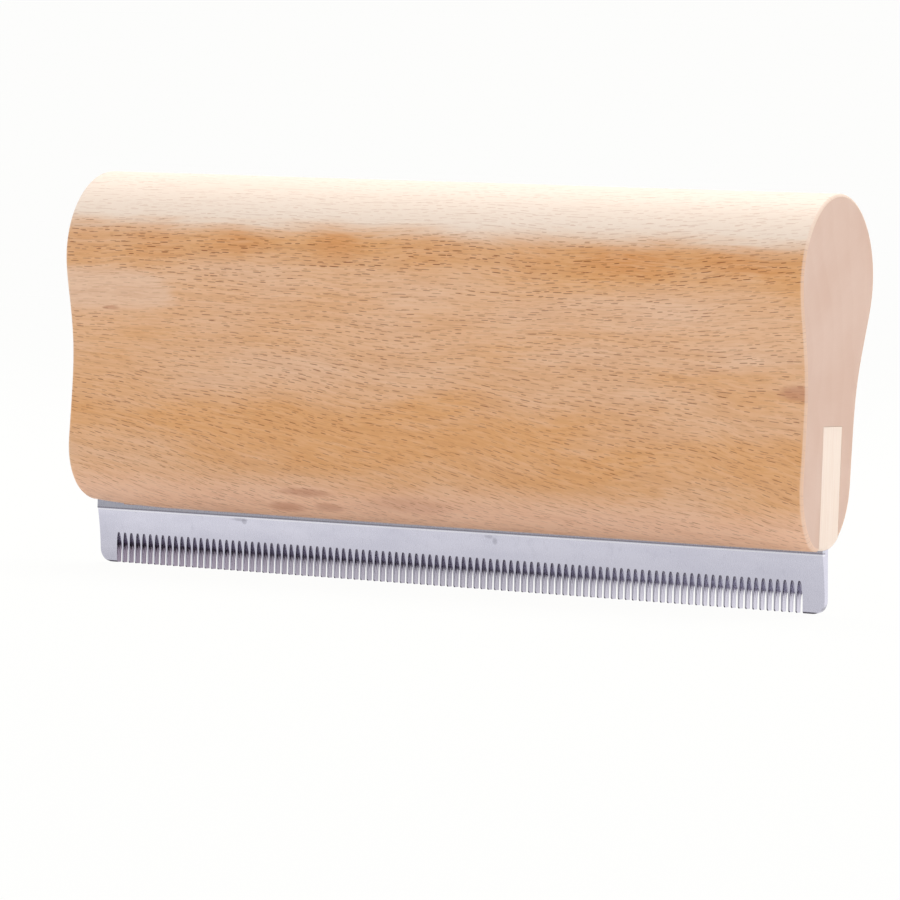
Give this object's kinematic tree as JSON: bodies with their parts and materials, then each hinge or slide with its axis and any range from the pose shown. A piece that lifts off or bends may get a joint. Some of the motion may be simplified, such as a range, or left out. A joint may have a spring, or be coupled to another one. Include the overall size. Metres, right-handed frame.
{
  "type": "deshedding tool",
  "caption": "Hand grooming tool: a waisted wooden palm handle with a fixed steel comb blade let into a slot along its underside.",
  "frame": {"origin": "middle of the handle's length, on the line of the tooth tips, under the widest part of the palm bulb", "axes": "+X along the handle towards the end shown in the source view, -Y out of the bevelled front of the blade, +Z from the tooth tips up to the top of the handle"},
  "size_m": [0.15, 0.029, 0.0727],
  "materials": {
    "beech": "sanded and oiled, satin",
    "plug_wood": "sanded, satin",
    "blade_steel": "ground satin",
    "strip_wood": "sawn",
    "pin_steel": "drawn",
    "glue": "set resin"
  },
  "bodies": {
    "root": {"handle_block": "beech", "end_plug_left": "plug_wood", "end_plug_right": "plug_wood", "comb_blade": "blade_steel", "front_packing_strip": "strip_wood", "rear_packing_strip": "strip_wood", "tang_pins": "pin_steel", "tang_glue": "glue"}
  },
  "joints": []
}
